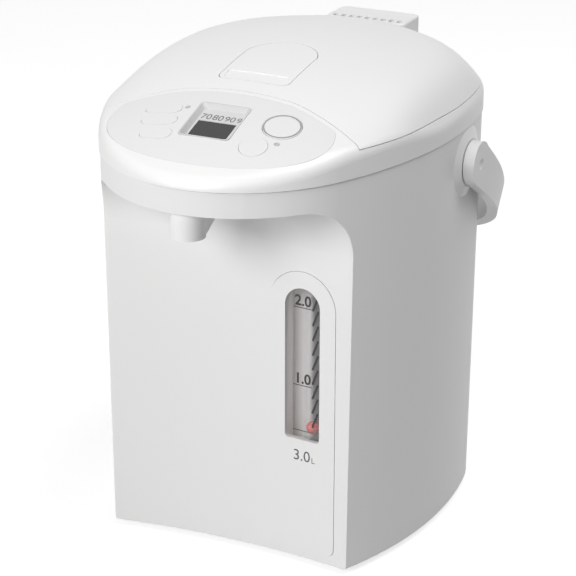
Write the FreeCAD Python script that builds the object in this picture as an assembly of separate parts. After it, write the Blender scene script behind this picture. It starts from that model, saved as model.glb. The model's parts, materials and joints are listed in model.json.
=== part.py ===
import FreeCAD, Part
import math
import os

Vector = FreeCAD.Vector

# An electric thermo pot for three litres. Millimetres, +Z up, the spout faces -Y.
# The origin is on the floor under the middle of the whole pot, handle included.

# Rim outline: tangent arcs from the front tip round to the back, mirrored in X
RIM_FRONT_Y = -144.0
RIM_RADII = (77.0, 92.0, 240.0, 62.0)
RIM_TURNS = (28.0, 62.0, 100.0, 140.0)
RIM_BACK_TURN = 180.0

# Heights of the casing
BODY_LOW_Z = 3.5
BEAK_LOW_Z = 231.0
SEAM_Z = 245.4
SEAM_GAP = 0.4
BODY_TOP_INSET = 0.6
BODY_LOW_INSET = 2.7
WALL = 2.5

# Domed top: an arc across, carried on a long arc front to back
DOME_TOP_Z = 289.4
DOME_LONG_R = 398.0
DOME_CROSS_R = 337.0
DOME_APEX_Y = 27.0
ROLL_WIDTH = 27.6
ROLL_RATE = 0.0196
ROLL_START_Y = -110.0
ROLL_FULL_Y = 0.0
EDGE_ROUND = 9.0

# Cup bay under the beak: a hollow front face that sweeps up into the beak
FACE_MID_Y = -79.5
FACE_EDGE_Y = -89.5
FACE_EDGE_X = 95.0
BAY_CORNER_X = 80.5
BAY_SIDE_ANGLE = 48.0
BAY_CORNER_ROUND = 9.0
BAY_SWEEP = 32.0

# Lid
LID_PART_Z = 260.2
LID_GAP = 0.5
LID_FRONT_MID_Y = -64.5
LID_FRONT_BOW_X = 36.0
LID_FRONT_BOW = 2.4
LID_CORNER_X = 84.5
LID_CORNER_Y = -83.8
LID_CORNER_ROUND = 5.0
HINGE_Y = 124.2
HINGE_Z = 263.0

# Tank
TANK_Y = 27.0
TANK_R = 83.0
TANK_WALL = 1.2
TANK_FLOOR_Z = 66.0
TANK_TOP_Z = 240.0
TANK_FLANGE_R = 88.0
MOUTH_R = 77.0

# Handle
PIVOT_Y = 26.5
PIVOT_Z = 224.5
HANDLE_REST = 34.5
HUB_R = 13.3
HUB_IN_X = 104.4
HUB_OUT_X = 111.0
PAD_R = 24.0
PIVOT_R = 5.0
PIVOT_FIT = 0.05

# Water gauge on the front face
GAUGE_LEFT_X = 24.5
GAUGE_RIGHT_X = 68.0
GAUGE_LOW_Z = 9.5
GAUGE_TOP_Z = 184.0
WINDOW_LEFT_X = 35.0
WINDOW_RIGHT_X = 57.8
WINDOW_LOW_Z = 80.0
WINDOW_TOP_Z = 174.0
TUBE_X = 48.5
TUBE_R = 5.2
TUBE_BORE_R = 4.2
BALL_R = 3.9

# Spout
SPOUT_Y = -130.5
SPOUT_R = 9.6
SPOUT_LOW_Z = 214.2
SPOUT_BORE_R = 5.0
SPOUT_WEB_END_Y = -98.0

# Power inlet low on the back
SOCKET_Z = 34.0
SOCKET_HALF_X = 24.0
SOCKET_HALF_Z = 9.0

# Feet
FOOT_PLACES = ((-62.0, -52.0), (62.0, -52.0), (-62.0, 78.0), (62.0, 78.0))
FOOT_R = 9.0

# Control deck: keys are x, y and radius or width
DISPENSE_KEY = (37.0, -89.4, 10.9)
LOCK_KEY = (29.4, -110.1, 7.9)
MENU_KEYS = ((-36.5, -88.0, 22.0), (-34.0, -98.6, 21.5), (-30.0, -110.6, 19.0))
MENU_KEY_DEPTH = 9.0
LAMP_PLACES = ((-22.7, -85.9), (40.7, -104.8))
LAMP_R = 1.6
KEY_GAP = 0.3
MENU_GAP = 0.2
SWITCH_HIGH = 1.5
KEY_FREE = 1.3
KEY_RISE = 0.15
SHEET_HALF_X = 67.5
SHEET_HALF_Y = 40.0
SHEET_Y = -92.0
SHEET_DEPTH = 0.6
DECK_Y = -94.6
LCD_X = -1.2
LCD_SHIFT_Y = -0.8
LCD_HALF_X = 15.7
LCD_HALF_Y = 16.3
LCD_SINK = 3.2
BOARD_SINK = 12.0
EAR_IN_X = 29.5
EAR_OUT_X = 34.5
EAR_R = 5.0
HINGE_PIN_R = 2.0
HOOK_HALF_X = 8.0
HOOK_LOW_Z = 265.0
HOOK_HIGH_Z = 268.0

# Lid parts
PLATE_HALF_X = 22.0
PLATE_FRONT_Y = -52.0
PLATE_SIDE_Y = -11.5
PLATE_BACK_Y = 6.4
PLATE_DEPTH = 2.2
PLATE_PIN_Y = -3.0
PLATE_PIN_Z = 281.5
BLOCK_HALF_X = 27.0
BLOCK_FRONT_Y = 108.5
BLOCK_BACK_Y = 137.0
BLOCK_TOP_Z = 278.8

# Pump and water path
PUMP_X = 34.0
PUMP_Y = -28.0
OUTLET_X = 48.5
TUBE_Y = -71.5
PIPE_R = 4.0
PIPE_BORE_R = 2.8
PIPE_Z = 240.0
VALVE_X = 24.0
VALVE_Y = -101.0

# Handle bail, outer arcs from the pivots to the middle
BAIL_STRAIGHT = 17.8
BAIL_ARCS = ((184.2, 20.0), (80.7, 80.0))
BAIL_THICK = 6.6
BAIL_HALF_HEIGHT = 9.6


def heading(turn):
    """Outward direction of the rim where it has turned this far from the front."""
    angle = math.radians(turn)
    return Vector(math.sin(angle), -math.cos(angle), 0)


def rim_arcs():
    """Centre, radius and turn range of each arc on the right half of the rim."""
    arcs = []
    start = Vector(0, RIM_FRONT_Y, 0)
    turn = 0.0
    for radius, end_turn in zip(RIM_RADII, RIM_TURNS):
        centre = start - heading(turn) * radius
        arcs.append((centre, radius, turn, end_turn))
        start = centre + heading(end_turn) * radius
        turn = end_turn
    radius = start.x / math.sin(math.radians(turn))
    centre = start - heading(turn) * radius
    arcs.append((centre, radius, turn, RIM_BACK_TURN))
    return arcs


RIM = rim_arcs()


def rim_edge(centre, radius, turn, end_turn, z):
    points = []
    for step in (turn, (turn + end_turn) / 2, end_turn):
        points.append(centre + heading(step) * radius + Vector(0, 0, z))
    return Part.Arc(*points).toShape()


def rim_wire(inset, z):
    """The rim outline moved inward by inset, at height z."""
    sides = RIM[1:-1]
    centre, radius, turn, end_turn = RIM[0]
    edges = [rim_edge(centre, radius - inset, -end_turn, end_turn, z)]
    for centre, radius, turn, end_turn in sides:
        edges.append(rim_edge(centre, radius - inset, turn, end_turn, z))
    centre, radius, turn, end_turn = RIM[-1]
    edges.append(rim_edge(centre, radius - inset, turn, 360 - turn, z))
    for centre, radius, turn, end_turn in reversed(sides):
        mirrored = Vector(-centre.x, centre.y, 0)
        edges.append(rim_edge(mirrored, radius - inset, -end_turn, -turn, z))
    return Part.Wire(edges)


def rim_prism(inset, low_z, high_z):
    return Part.Face(rim_wire(inset, low_z)).extrude(Vector(0, 0, high_z - low_z))


def rim_inset_at(x, y):
    """How far a plan point lies inside the rim, or a large value near the middle."""
    for centre, radius, turn, end_turn in RIM:
        offset = Vector(abs(x), y, 0) - centre
        angle = math.degrees(math.atan2(offset.x, -offset.y))
        if turn <= angle <= end_turn:
            return radius - offset.Length
    return ROLL_WIDTH


def rim_back_y(inset=0.0):
    centre, radius, turn, end_turn = RIM[-1]
    return centre.y + radius - inset


def dome_z(x, y):
    """Height of the domed top over a plan point."""
    across = DOME_LONG_R - DOME_CROSS_R + math.sqrt(DOME_CROSS_R ** 2 - x ** 2)
    z = DOME_TOP_Z - DOME_LONG_R + math.sqrt(across ** 2 - (y - DOME_APEX_Y) ** 2)
    share = (y - ROLL_START_Y) / (ROLL_FULL_Y - ROLL_START_Y)
    share = min(1.0, max(0.0, share))
    share = share * share * (3 - 2 * share)
    short = max(0.0, ROLL_WIDTH - max(-8.0, rim_inset_at(x, y)))
    return z - share * ROLL_RATE * short ** 2


def dome_tilt(y):
    """Forward slope of the top along the centre line, in degrees."""
    return math.degrees(math.asin((DOME_APEX_Y - y) / DOME_LONG_R))


def dome_block(drop, low_z):
    """Solid under the domed top, lowered by drop, over a wide rectangle."""
    columns = 13
    rows = 16
    half_x = 112.0
    front_y = -156.0
    back_y = 136.0
    grid = []
    for i in range(columns):
        x = -half_x + 2 * half_x * i / (columns - 1)
        line = []
        for j in range(rows):
            y = front_y + (back_y - front_y) * j / (rows - 1)
            line.append(Vector(x, y, dome_z(x, y) - drop))
        grid.append(line)
    surface = Part.BSplineSurface()
    surface.interpolate(grid)
    prism = surface.toShape().extrude(Vector(0, 0, low_z - DOME_TOP_Z))
    return prism


def crown_solid(inset, drop, low_z):
    """Everything inside the rim and under the domed top, down to low_z."""
    return rim_prism(inset, low_z, DOME_TOP_Z + 5).common(dome_block(drop, low_z))


# Small helpers

def cylinder(radius, low_z, high_z, x=0.0, y=0.0):
    return Part.makeCylinder(radius, high_z - low_z, Vector(x, y, low_z))


def rod_x(radius, low_x, high_x, y, z):
    return Part.makeCylinder(radius, high_x - low_x, Vector(low_x, y, z), Vector(1, 0, 0))


def rod_y(radius, low_y, high_y, x, z):
    return Part.makeCylinder(radius, high_y - low_y, Vector(x, low_y, z), Vector(0, 1, 0))


def box(low, high):
    low = Vector(*low)
    size = Vector(*high) - low
    return Part.makeBox(size.x, size.y, size.z, low)


def tube(radius, bore, low_z, high_z, x=0.0, y=0.0):
    return cylinder(radius, low_z, high_z, x, y).cut(cylinder(bore, low_z - 1, high_z + 1, x, y))


def rounded_plan(points, radius, low_z, high_z):
    """Upright prism on a closed plan polygon with rounded corners."""
    corners = [Vector(x, y, low_z) for x, y in points]
    solid = Part.Face(Part.makePolygon(corners + corners[:1])).extrude(Vector(0, 0, high_z - low_z))
    uprights = [edge for edge in solid.Edges if edge.BoundBox.ZLength > (high_z - low_z) * 0.9]
    return solid.makeFillet(radius, uprights)


def slab(low_x, high_x, low_y, high_y, radius, low_z, high_z):
    points = [(low_x, low_y), (high_x, low_y), (high_x, high_y), (low_x, high_y)]
    return rounded_plan(points, radius, low_z, high_z)


def on_deck(shape, y, sink=0.0):
    """Lay a shape drawn about the origin onto the sloping deck at this y."""
    placed = shape.copy()
    placed.rotate(Vector(0, 0, 0), Vector(1, 0, 0), dome_tilt(y))
    placed.translate(Vector(0, y, dome_z(0, y)) - deck_normal(y) * sink)
    return placed


def deck_normal(y):
    tilt = math.radians(dome_tilt(y))
    return Vector(0, -math.sin(tilt), math.cos(tilt))


# Casing

def bay_cutter(grow):
    """What the cup bay takes from the body; grow moves its faces into the body."""
    bow = FACE_MID_Y - FACE_EDGE_Y
    face_r = (FACE_EDGE_X ** 2 + bow ** 2) / (2 * bow)
    axis_y = FACE_MID_Y - face_r
    face_r += grow
    side = math.radians(BAY_SIDE_ANGLE)
    corner_x = BAY_CORNER_X + grow * math.tan(side / 2) * 0.55
    corner_x -= grow * 1.1
    corner = Vector(corner_x, axis_y + math.sqrt(face_r ** 2 - corner_x ** 2), 0)
    reach = 90.0
    outer = corner + Vector(math.cos(side), math.sin(side), 0) * reach
    left = Vector(-corner.x, corner.y, 0)
    left_outer = Vector(-outer.x, outer.y, 0)
    front_y = RIM_FRONT_Y - 40
    points = [corner, outer, Vector(outer.x, front_y, 0), Vector(-outer.x, front_y, 0), left_outer, left]
    edges = [Part.makeLine(a, b) for a, b in zip(points, points[1:])]
    edges.append(Part.Arc(left, Vector(0, axis_y + face_r, 0), corner).toShape())
    high_z = BEAK_LOW_Z + grow
    profile = Part.Face(Part.Wire(edges))
    profile.translate(Vector(0, 0, -10))
    prism = profile.extrude(Vector(0, 0, high_z + 10))
    uprights = []
    for edge in prism.Edges:
        box_ = edge.BoundBox
        if box_.ZLength > 50 and abs(abs(box_.XMin) - corner.x) < 0.1 and abs(box_.YMin - corner.y) < 0.1:
            uprights.append(edge)
    prism = prism.makeFillet(BAY_CORNER_ROUND - grow, uprights)
    top = []
    for edge in prism.Edges:
        box_ = edge.BoundBox
        on_top = abs(box_.ZMin - high_z) < 0.01 and abs(box_.ZMax - high_z) < 0.01
        if on_top and box_.YMax > FACE_EDGE_Y - 12 and box_.YMin > front_y + 5:
            top.append(edge)
    return prism.makeFillet(BAY_SWEEP + grow, top)


def body_block(inset, low_z, high_z):
    """The drafted oval body between two heights, moved inward by inset."""
    def wire(z):
        share = (z - BODY_LOW_Z) / (SEAM_Z - BODY_LOW_Z)
        return rim_wire(inset + BODY_LOW_INSET + (BODY_TOP_INSET - BODY_LOW_INSET) * share, z)
    return Part.makeLoft([wire(low_z), wire(high_z)], True, True)


def bay_face_y(x, grow=0.0):
    """Y of the hollow front face at this x; grow moves it into the body."""
    bow = FACE_MID_Y - FACE_EDGE_Y
    face_r = (FACE_EDGE_X ** 2 + bow ** 2) / (2 * bow)
    return FACE_MID_Y - face_r + math.sqrt((face_r + grow) ** 2 - x ** 2)


def face_layer(outer, inner):
    """Upright curved layer that follows the front face, between two depths."""
    bow = FACE_MID_Y - FACE_EDGE_Y
    face_r = (FACE_EDGE_X ** 2 + bow ** 2) / (2 * bow)
    axis_y = FACE_MID_Y - face_r
    return tube(face_r + inner, face_r + outer, 0, BEAK_LOW_Z, 0, axis_y)


def arch_prism(left, right, low_z, top_z, corner, grow=0.0):
    """Prism along Y on an arched outline: round top, small lower corners."""
    left -= grow
    right += grow
    low_z -= grow
    top_z += grow
    mid = (left + right) / 2
    radius = (right - left) / 2
    spring_z = top_z - radius
    y = RIM_FRONT_Y
    edges = [
        Part.Arc(Vector(right, y, spring_z), Vector(mid, y, top_z), Vector(left, y, spring_z)).toShape(),
        Part.makeLine(Vector(left, y, spring_z), Vector(left, y, low_z)),
        Part.makeLine(Vector(left, y, low_z), Vector(right, y, low_z)),
        Part.makeLine(Vector(right, y, low_z), Vector(right, y, spring_z)),
    ]
    prism = Part.Face(Part.Wire(edges)).extrude(Vector(0, 110, 0))
    lower = [edge for edge in prism.Edges if edge.BoundBox.YLength > 100 and edge.BoundBox.ZMax < low_z + 0.1]
    return prism.makeFillet(corner, lower)


def spout_plan(grow, low_z, high_z):
    """Spout outline: a round nozzle with a tapering web behind it."""
    radius = SPOUT_R + grow
    web_half = 8.6 + grow
    shape = cylinder(radius, low_z, high_z, 0, SPOUT_Y)
    return shape.fuse(box((-web_half, SPOUT_Y, low_z), (web_half, SPOUT_WEB_END_Y + grow, high_z)))


def handle_pad(side):
    """Flared seat on the body's side that carries one handle hub."""
    base_x = 98.0
    pad = Part.makeCone(PAD_R + 4, HUB_R + 1.2, HUB_IN_X - 0.5 - base_x, Vector(base_x, PIVOT_Y, PIVOT_Z),
                        Vector(1, 0, 0))
    if side < 0:
        pad = pad.mirror(Vector(0, 0, 0), Vector(1, 0, 0))
    return pad


def body_shell():
    outer = body_block(0, BODY_LOW_Z, SEAM_Z - SEAM_GAP / 2)
    low_edges = [edge for edge in outer.Edges if edge.BoundBox.ZMax < BODY_LOW_Z + 0.1]
    outer = outer.makeFillet(2.0, low_edges)
    outer = outer.fuse([handle_pad(1), handle_pad(-1)])
    inner = body_block(WALL, BODY_LOW_Z - 5, SEAM_Z + 5).cut(bay_cutter(WALL))
    shell = outer.cut(bay_cutter(0)).cut(inner)
    shell = shell.cut(arch_prism(GAUGE_LEFT_X, GAUGE_RIGHT_X, GAUGE_LOW_Z, GAUGE_TOP_Z, 4.5, 0.2))
    shell = shell.cut(spout_plan(0.3, BEAK_LOW_Z - 4, BEAK_LOW_Z + 6))
    for side in (1, -1):
        shell = shell.cut(rod_x(PIVOT_R, 90 * side if side > 0 else -110, 110 if side > 0 else -90,
                                PIVOT_Y, PIVOT_Z))
    socket_hole = box((-SOCKET_HALF_X, 95, SOCKET_Z - SOCKET_HALF_Z),
                      (SOCKET_HALF_X, 130, SOCKET_Z + SOCKET_HALF_Z))
    above_seam = box((-200, -200, SEAM_Z - SEAM_GAP / 2), (200, 200, 300))
    return shell.cut([socket_hole, above_seam])


def base_plate():
    """Flat bottom cover inside the body's lower edge, with vent slots."""
    gap = WALL + 0.3
    plate = body_block(gap, BODY_LOW_Z, BODY_LOW_Z + 2.5).cut(bay_cutter(gap))
    slots = []
    for row in range(6):
        y = 2 + row * 9
        for side in (-1, 1):
            x = side * 27 - 18
            slots.append(slab(x, x + 36, y, y + 3.5, 1.7, 0, 10))
    for x, y in FOOT_PLACES:
        slots.append(cylinder(2.1, 0, 10, x, y))
    return plate.cut(slots)


def feet():
    shapes = []
    for x, y in FOOT_PLACES:
        foot = Part.makeCone(FOOT_R - 1, FOOT_R, BODY_LOW_Z, Vector(x, y, 0))
        foot = foot.cut(cylinder(4.2, -1, 1.2, x, y)).cut(cylinder(2.1, -1, 10, x, y))
        shapes.append(foot)
    return Part.makeCompound(shapes)


def base_screws():
    shapes = []
    for x, y in FOOT_PLACES:
        screw = cylinder(4.0, 0.5, 1.2, x, y).fuse(cylinder(2.0, 1.2, 13, x, y))
        shapes.append(screw.cut(box((x - 2.5, y - 0.5, 0), (x + 2.5, y + 0.5, 0.9))))
    return Part.makeCompound(shapes)


# Shoulder ring: the upper frame with the control deck

def lid_plan(grow, low_z, high_z):
    """The lid's plan, open at the sides and back; grow makes it larger."""
    corner_y = LID_CORNER_Y - grow
    bow_y = LID_FRONT_MID_Y - LID_FRONT_BOW - grow
    far = 140.0
    left_bow = Vector(-LID_FRONT_BOW_X, bow_y, low_z)
    right_bow = Vector(LID_FRONT_BOW_X, bow_y, low_z)
    middle = Vector(0, LID_FRONT_MID_Y - grow, low_z)
    right = Vector(LID_CORNER_X, corner_y, low_z)
    left = Vector(-LID_CORNER_X, corner_y, low_z)
    outline = [right_bow, right, Vector(far, corner_y + 4, low_z), Vector(far, far, low_z),
               Vector(-far, far, low_z), Vector(-far, corner_y + 4, low_z), left, left_bow]
    edges = [Part.makeLine(a, b) for a, b in zip(outline, outline[1:])]
    edges.append(Part.Arc(left_bow, middle, right_bow).toShape())
    prism = Part.Face(Part.Wire(edges)).extrude(Vector(0, 0, high_z - low_z))
    bends = []
    corners = []
    for edge in prism.Edges:
        bound = edge.BoundBox
        if bound.ZLength < high_z - low_z - 1:
            continue
        if abs(abs(bound.XMin) - LID_FRONT_BOW_X) < 0.1:
            bends.append(edge)
        if abs(abs(bound.XMin) - LID_CORNER_X) < 0.1:
            corners.append(edge)
    prism = prism.makeFillet(45.0, bends)
    corners = [edge for edge in prism.Edges if edge.BoundBox.ZLength > high_z - low_z - 1
               and abs(abs(edge.BoundBox.XMin) - LID_CORNER_X) < 0.1]
    return prism.makeFillet(LID_CORNER_ROUND, corners)


def top_edges(solid, low_z):
    """The edges between the upright rim wall and the domed top."""
    found = []
    for edge in solid.Edges:
        bound = edge.BoundBox
        straight_up = abs(bound.ZLength - edge.Length) < 1
        if bound.ZMin > low_z and edge.Length > 1 and not straight_up:
            found.append(edge)
    return found


def rounded_crown(inset, drop, low_z):
    crown = crown_solid(inset, drop, low_z)
    return crown.makeFillet(EDGE_ROUND - inset, top_edges(crown, low_z + 0.5))


def round_key(key, grow):
    x, y, radius = key
    return cylinder(radius + grow, 235, 300, x, y)


def pill_key(key, grow):
    x, y, width = key
    half = MENU_KEY_DEPTH / 2 + grow
    return slab(x - width / 2 - grow, x + width / 2 + grow, y - half, y + half, half - 0.05, 235, 300)


def key_prisms(grow):
    small = min(grow, MENU_GAP)
    prisms = [round_key(DISPENSE_KEY, grow), round_key(LOCK_KEY, small)]
    return prisms + [pill_key(key, small) for key in MENU_KEYS]


def sheet_prism(grow):
    ellipse = Part.Ellipse(Vector(0, SHEET_Y, 235), SHEET_HALF_X + grow, SHEET_HALF_Y + grow)
    prism = Part.Face(Part.Wire(ellipse.toShape())).extrude(Vector(0, 0, 65))
    return prism.cut(lid_plan(3.2 - grow, 230, 310))


def lcd_slab(grow, sink_low, sink_high, corner=3.0):
    half_x = LCD_HALF_X + grow
    half_y = LCD_HALF_Y + grow
    frame = slab(LCD_X - half_x, LCD_X + half_x, LCD_SHIFT_Y - half_y, LCD_SHIFT_Y + half_y, corner,
                 -sink_low, -sink_high)
    return on_deck(frame, DECK_Y)


def lamp_rods(radius, sink_low, sink_high):
    shapes = []
    for x, y in LAMP_PLACES:
        shapes.append(on_deck(cylinder(radius, -sink_low, -sink_high, x, 0), y, dome_z(0, y) - dome_z(x, y)))
    return shapes


def shoulder_ring():
    ring = rounded_crown(0, 0, SEAM_Z + SEAM_GAP / 2).cut(lid_plan(0, LID_PART_Z, 320))
    hollow = rounded_crown(WALL, WALL, SEAM_Z - 8).cut(lid_plan(WALL, LID_PART_Z - WALL, 320))
    inset = WALL + BODY_TOP_INSET + 0.15
    skirt = rim_prism(1.2, SEAM_Z + SEAM_GAP / 2, SEAM_Z + 2).fuse(rim_prism(inset, SEAM_Z - 5, SEAM_Z + 2))
    skirt = skirt.cut(rim_prism(inset + 1.5, SEAM_Z - 6, SEAM_Z + 3)).cut(box((-15, -150, 230), (15, -115, 246)))
    ring = ring.cut(hollow).fuse(skirt)
    collar = tube(MOUTH_R + WALL, MOUTH_R, TANK_TOP_Z + 2.2, LID_PART_Z - 0.4, 0, TANK_Y)
    ring = ring.fuse(collar).cut(cylinder(MOUTH_R, 200, 320, 0, TANK_Y))
    ears = []
    for side in (-1, 1):
        low = min(side * EAR_IN_X, side * EAR_OUT_X)
        high = max(side * EAR_IN_X, side * EAR_OUT_X)
        ear = rod_x(EAR_R, low, high, HINGE_Y, HINGE_Z)
        ears.append(ear.fuse(box((low, 113, 247), (high, HINGE_Y + EAR_R * 0.8, HINGE_Z - 3))))
    ears.append(slab(-EAR_OUT_X, EAR_OUT_X, 108, HINGE_Y + EAR_R * 0.6, 2.0, 247, 249.2))
    ring = ring.fuse(ears)
    ring = ring.cut(rod_x(HINGE_PIN_R, -40, 40, HINGE_Y, HINGE_Z))
    ring = ring.cut(rod_x(5.5, -29, 29, HINGE_Y, HINGE_Z))
    ring = ring.cut(sheet_prism(0.15).cut(dome_block(SHEET_DEPTH, 200)))
    ring = ring.cut(key_prisms(KEY_GAP)).cut(lcd_slab(0.1, 12, -6)).cut(lamp_rods(LAMP_R, 12, -6))
    slot = box((-HOOK_HALF_X - 1, -72, HOOK_LOW_Z - 1), (HOOK_HALF_X + 1, -60, HOOK_HIGH_Z + 1))
    return ring.cut(slot)


def control_sheet():
    sheet = sheet_prism(0).common(dome_block(0, 200)).cut(dome_block(SHEET_DEPTH, 200))
    return sheet.cut(key_prisms(KEY_GAP)).cut(lcd_slab(0.1, 12, -6)).cut(lamp_rods(LAMP_R, 12, -6))


def key_cap(prism, x, y):
    cap = prism.common(dome_block(-KEY_RISE, 200)).cut(dome_block(3.0, 200))
    sink = dome_z(0, y) - dome_z(x, y)
    stem_low = sink - (BOARD_SINK - SWITCH_HIGH - KEY_FREE)
    return cap.fuse(on_deck(cylinder(2.0, stem_low, -2.0, x, 0), y, sink))


def lcd_window(low_z, high_z, grow=0.0):
    """Block on the display's visible opening, in deck coordinates."""
    return box((LCD_X - 11.7 - grow, -15.2 - grow, low_z), (LCD_X + 11.7 + grow, 2.1 + grow, high_z))


def lcd_frame():
    """Recess with sloping sides round the display, and a shelf behind it for the numbers."""
    frame = lcd_slab(0.0, LCD_SINK + 2, 0.1)
    rings = []
    for half_x, low_y, high_y, z in ((LCD_HALF_X - 0.6, -16.5, 14.9, 0.3), (12.9, -15.9, 13.0, -LCD_SINK)):
        corners = [Vector(LCD_X + x, y, z) for x, y in
                   ((-half_x, low_y), (half_x, low_y), (half_x, high_y), (-half_x, high_y), (-half_x, low_y))]
        rings.append(Part.makePolygon(corners))
    funnel = Part.makeLoft(rings, True, True)
    edges = [edge for edge in funnel.Edges if edge.BoundBox.ZLength > 2]
    funnel = on_deck(funnel.makeFillet(2.4, edges), DECK_Y)
    return frame.cut(funnel).cut(on_deck(lcd_window(-9, 1), DECK_Y))


def lcd_glass():
    return on_deck(lcd_window(-LCD_SINK - 1.6, -LCD_SINK - 0.4, -0.1), DECK_Y)


def lcd_module():
    return on_deck(box((LCD_X - 13, -16, -BOARD_SINK), (LCD_X + 13, 12, -LCD_SINK - 2.1)), DECK_Y)


def control_board():
    board = slab(-44, 46, -22, 17, 2, -BOARD_SINK - 1.6, -BOARD_SINK)
    return on_deck(board, DECK_Y)


def key_places():
    places = [(DISPENSE_KEY[0], DISPENSE_KEY[1]), (LOCK_KEY[0], LOCK_KEY[1])]
    return places + [(key[0], key[1]) for key in MENU_KEYS]


def key_switches():
    shapes = []
    for x, y in key_places():
        along = (y - DECK_Y) / math.cos(math.radians(dome_tilt(DECK_Y)))
        switch = box((x - 3, along - 3, -BOARD_SINK), (x + 3, along + 3, -BOARD_SINK + SWITCH_HIGH))
        shapes.append(on_deck(switch, DECK_Y))
    return Part.makeCompound(shapes)


# Lid

def plate_plan(grow, low_z=240, high_z=300):
    half = PLATE_HALF_X + grow
    front = PLATE_FRONT_Y - grow
    back = PLATE_BACK_Y + grow
    corners = [Vector(-half, PLATE_SIDE_Y, low_z), Vector(-half, front, low_z), Vector(half, front, low_z),
               Vector(half, PLATE_SIDE_Y, low_z)]
    edges = [Part.makeLine(a, b) for a, b in zip(corners, corners[1:])]
    edges.append(Part.Arc(corners[3], Vector(0, back, low_z), corners[0]).toShape())
    prism = Part.Face(Part.Wire(edges)).extrude(Vector(0, 0, high_z - low_z))
    front_uprights = [edge for edge in prism.Edges
                      if edge.BoundBox.ZLength > 50 and edge.BoundBox.YMax < front + 0.1]
    return prism.makeFillet(5.0, front_uprights)


def lid_cover():
    outline = lid_plan(-LID_GAP, LID_PART_Z + LID_GAP, 320)
    cover = rounded_crown(0, 0, SEAM_Z + SEAM_GAP / 2).common(outline)
    hollow = rounded_crown(WALL, WALL, SEAM_Z - 8).common(lid_plan(-LID_GAP - WALL, 200, 320))
    cover = cover.cut(hollow).cut(plate_plan(0.4))
    cover = cover.cut(box((-BLOCK_HALF_X - 0.2, BLOCK_FRONT_Y - 0.2, 240), (BLOCK_HALF_X + 0.2, 150, 300)))
    for side in (-1, 1):
        middle = side * (EAR_IN_X + EAR_OUT_X) / 2
        cover = cover.cut(box((middle - 3.5, 110, 240), (middle + 3.5, 150, 270)))
    slot = box((-HOOK_HALF_X - 0.5, -72, HOOK_LOW_Z - 0.5), (HOOK_HALF_X + 0.5, -55, HOOK_HIGH_Z + 0.5))
    return cover.cut(slot)


def lid_floor():
    low_z = LID_PART_Z + LID_GAP
    plan = lid_plan(-LID_GAP - WALL - 1.2, low_z, low_z + 2)
    floor = rim_prism(WALL + 5, low_z, low_z + 2).common(plan)
    return floor.cut(box((-36, 105, 250), (36, 140, 270)))


def inner_lid():
    low_z = LID_PART_Z - 8
    return cylinder(73.0, low_z, LID_PART_Z + LID_GAP, 0, TANK_Y).cut(
        cylinder(72.0, low_z + 1.0, LID_PART_Z + 1, 0, TANK_Y))


def lid_gasket():
    low_z = LID_PART_Z - 8
    return tube(76.0, 73.1, low_z + 0.5, low_z + 4, 0, TANK_Y)


def steam_block():
    block = slab(-BLOCK_HALF_X, BLOCK_HALF_X, BLOCK_FRONT_Y, BLOCK_BACK_Y, 5.0, HINGE_Z + 1, BLOCK_TOP_Z)
    rim = [edge for edge in block.Edges if edge.BoundBox.ZMin > BLOCK_TOP_Z - 0.1]
    block = block.makeFillet(1.4, rim)
    block = block.fuse(rod_x(EAR_R, -28.4, 28.4, HINGE_Y, HINGE_Z))
    block = block.cut(rod_x(HINGE_PIN_R + PIVOT_FIT, -40, 40, HINGE_Y, HINGE_Z))
    slots = []
    count = 9
    for index in range(count):
        x = (index - (count - 1) / 2) * 5.4
        slots.append(slab(x - 1.5, x + 1.5, BLOCK_FRONT_Y + 3, BLOCK_FRONT_Y + 8.5, 1.4, BLOCK_TOP_Z - 5, 290))
    return block.cut(slots)


def latch_plate():
    plate = plate_plan(0).common(dome_block(0, 200)).cut(dome_block(PLATE_DEPTH, 200))
    groove = slab(-19, 19, -49.4, -41.3, 2.0, 240, 300).cut(dome_block(0.5, 200))
    plate = plate.cut(groove)
    lugs = []
    for x in (-14, 10):
        lugs.append(box((x, PLATE_PIN_Y - 2.5, PLATE_PIN_Z - 2.5), (x + 4, PLATE_PIN_Y + 2.5, PLATE_PIN_Z + 5.2)))
    return plate.fuse(lugs).cut(rod_x(1.5 + PIVOT_FIT, -30, 30, PLATE_PIN_Y, PLATE_PIN_Z))


def latch_tray():
    low_z = LID_PART_Z + LID_GAP + 2.0
    tray = box((-26, -58, low_z), (26, 12, 278)).common(dome_block(3.2, 200))
    tray = tray.cut(box((-24.5, -56.5, low_z + 1.5), (24.5, 10.5, 300)))
    posts = [box((x, PLATE_PIN_Y - 3, low_z), (x + 2.5, PLATE_PIN_Y + 3, PLATE_PIN_Z + 3)) for x in (-17, 14.5)]
    tray = tray.fuse(posts).cut(rod_x(1.5, -30, 30, PLATE_PIN_Y, PLATE_PIN_Z))
    return tray.cut(box((-HOOK_HALF_X - 0.1, -60, HOOK_LOW_Z - 0.1), (HOOK_HALF_X + 0.1, -52, HOOK_HIGH_Z + 0.1)))


def latch_hook():
    slider = box((-HOOK_HALF_X, -62, HOOK_LOW_Z), (HOOK_HALF_X, -30, HOOK_HIGH_Z))
    nose = box((-HOOK_HALF_X, -63.6, HOOK_LOW_Z + 1), (HOOK_HALF_X, -62, HOOK_HIGH_Z))
    return slider.fuse(nose)


# Tank, heating and pump

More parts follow.
